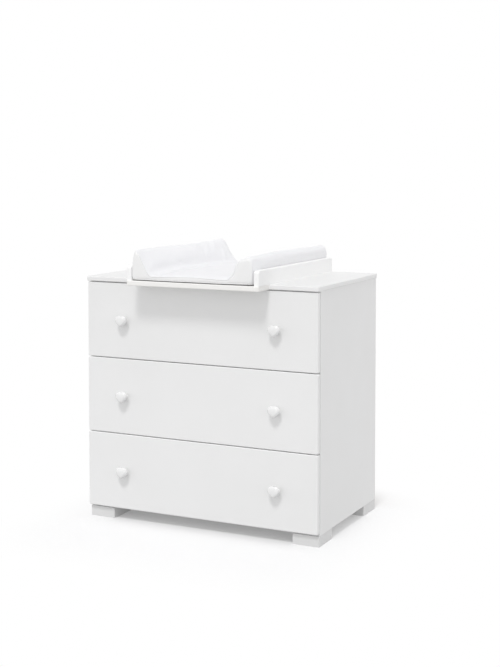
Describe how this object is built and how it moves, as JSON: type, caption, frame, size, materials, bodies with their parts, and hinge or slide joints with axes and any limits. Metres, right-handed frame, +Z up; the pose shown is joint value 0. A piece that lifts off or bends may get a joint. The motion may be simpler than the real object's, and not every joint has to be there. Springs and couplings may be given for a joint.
{
  "type": "changing dresser",
  "caption": "White chest of wide drawers with heart-shaped knobs and block feet, topped by a lift-off changing tray that holds a padded mat with side bolsters.",
  "frame": {"origin": "centre of the whole object's footprint, on the floor", "axes": "+Z up, -Y towards the person who opens the drawers, +X to that person's right"},
  "size_m": [0.928, 0.655, 0.9978],
  "materials": {
    "white_lacquer": "white satin lacquer on fibreboard",
    "melamine_board": "white melamine",
    "hardboard": "thin board, painted white",
    "knob_lacquer": "white gloss lacquer",
    "runner_steel": "white epoxy coat",
    "roller_nylon": "natural nylon",
    "screw_steel": "zinc plated",
    "cam_zinc": "die-cast zinc",
    "dowel_beech": "bare fluted beech",
    "mat_cover": "soft wipe-clean cover over foam"
  },
  "bodies": {
    "chest": {"back_panel": "hardboard", "bottom_panel": "white_lacquer", "cam_bolts": "screw_steel", "cam_locks": "cam_zinc", "dowels": "dowel_beech", "drawer_1_cabinet_runners": "runner_steel", "drawer_2_cabinet_runners": "runner_steel", "drawer_3_cabinet_runners": "runner_steel", "foot_front_left": "white_lacquer", "foot_front_right": "white_lacquer", "foot_rear_left": "white_lacquer", "foot_rear_right": "white_lacquer", "foot_screws": "screw_steel", "runner_screws": "screw_steel", "side_panel_left": "white_lacquer", "side_panel_right": "white_lacquer", "top_panel": "white_lacquer", "top_rail_back": "white_lacquer", "top_rail_front": "white_lacquer"},
    "drawer_1": {"drawer_1_back": "melamine_board", "drawer_1_bottom": "hardboard", "drawer_1_front": "white_lacquer", "drawer_1_knob_left": "knob_lacquer", "drawer_1_knob_right": "knob_lacquer", "drawer_1_knob_screws": "screw_steel", "drawer_1_runners": "runner_steel", "drawer_1_side_left": "melamine_board", "drawer_1_side_right": "melamine_board"},
    "drawer_2": {"drawer_2_back": "melamine_board", "drawer_2_bottom": "hardboard", "drawer_2_front": "white_lacquer", "drawer_2_knob_left": "knob_lacquer", "drawer_2_knob_right": "knob_lacquer", "drawer_2_knob_screws": "screw_steel", "drawer_2_runners": "runner_steel", "drawer_2_side_left": "melamine_board", "drawer_2_side_right": "melamine_board"},
    "drawer_3": {"drawer_3_back": "melamine_board", "drawer_3_bottom": "hardboard", "drawer_3_front": "white_lacquer", "drawer_3_knob_left": "knob_lacquer", "drawer_3_knob_right": "knob_lacquer", "drawer_3_knob_screws": "screw_steel", "drawer_3_runners": "runner_steel", "drawer_3_side_left": "melamine_board", "drawer_3_side_right": "melamine_board"},
    "front_rollers_1": {"drawer_1_front_rollers": "roller_nylon"},
    "back_rollers_1": {"drawer_1_back_rollers": "roller_nylon"},
    "front_rollers_2": {"drawer_2_front_rollers": "roller_nylon"},
    "back_rollers_2": {"drawer_2_back_rollers": "roller_nylon"},
    "front_rollers_3": {"drawer_3_front_rollers": "roller_nylon"},
    "back_rollers_3": {"drawer_3_back_rollers": "roller_nylon"},
    "tray": {"tray_back_batten": "white_lacquer", "tray_front_board": "white_lacquer", "tray_rail_left": "white_lacquer", "tray_rail_right": "white_lacquer", "tray_screws": "screw_steel"},
    "mat": {"mat_bolster_left": "mat_cover", "mat_bolster_right": "mat_cover", "mat_middle": "mat_cover"}
  },
  "joints": [
    {"name": "drawer_1_slide", "type": "slide", "parent": "chest", "child": "drawer_1", "axis": [0, -1, 0], "range_m": [0, 0.34]},
    {"name": "drawer_2_slide", "type": "slide", "parent": "chest", "child": "drawer_2", "axis": [0, -1, 0], "range_m": [0, 0.34]},
    {"name": "drawer_3_slide", "type": "slide", "parent": "chest", "child": "drawer_3", "axis": [0, -1, 0], "range_m": [0, 0.34]},
    {"name": "front_rollers_1_spin", "type": "hinge", "parent": "chest", "child": "front_rollers_1", "pos_m": [0, -0.1955, 0.0833], "axis": [1, 0, 0], "range_deg": [0, 1772]},
    {"name": "back_rollers_1_spin", "type": "hinge", "parent": "drawer_1", "child": "back_rollers_1", "pos_m": [0, 0.2195, 0.0825], "axis": [1, 0, 0], "range_deg": [0, 1772]},
    {"name": "front_rollers_2_spin", "type": "hinge", "parent": "chest", "child": "front_rollers_2", "pos_m": [0, -0.1955, 0.3608], "axis": [1, 0, 0], "range_deg": [0, 1772]},
    {"name": "back_rollers_2_spin", "type": "hinge", "parent": "drawer_2", "child": "back_rollers_2", "pos_m": [0, 0.2195, 0.36], "axis": [1, 0, 0], "range_deg": [0, 1772]},
    {"name": "front_rollers_3_spin", "type": "hinge", "parent": "chest", "child": "front_rollers_3", "pos_m": [0, -0.1955, 0.6383], "axis": [1, 0, 0], "range_deg": [0, 1772]},
    {"name": "back_rollers_3_spin", "type": "hinge", "parent": "drawer_3", "child": "back_rollers_3", "pos_m": [0, 0.2195, 0.6375], "axis": [1, 0, 0], "range_deg": [0, 1772]},
    {"name": "tray_lift", "type": "slide", "parent": "chest", "child": "tray", "axis": [0, 0, 1], "range_m": [0, 0.3]},
    {"name": "mat_lift", "type": "slide", "parent": "tray", "child": "mat", "axis": [0, 0, 1], "range_m": [0, 0.3]}
  ],
  "couplings": [
    {"joint": "front_rollers_1_spin", "follows": "drawer_1_slide", "rad_per_m": 90.909},
    {"joint": "back_rollers_1_spin", "follows": "drawer_1_slide", "rad_per_m": 90.909},
    {"joint": "front_rollers_2_spin", "follows": "drawer_2_slide", "rad_per_m": 90.909},
    {"joint": "back_rollers_2_spin", "follows": "drawer_2_slide", "rad_per_m": 90.909},
    {"joint": "front_rollers_3_spin", "follows": "drawer_3_slide", "rad_per_m": 90.909},
    {"joint": "back_rollers_3_spin", "follows": "drawer_3_slide", "rad_per_m": 90.909}
  ]
}
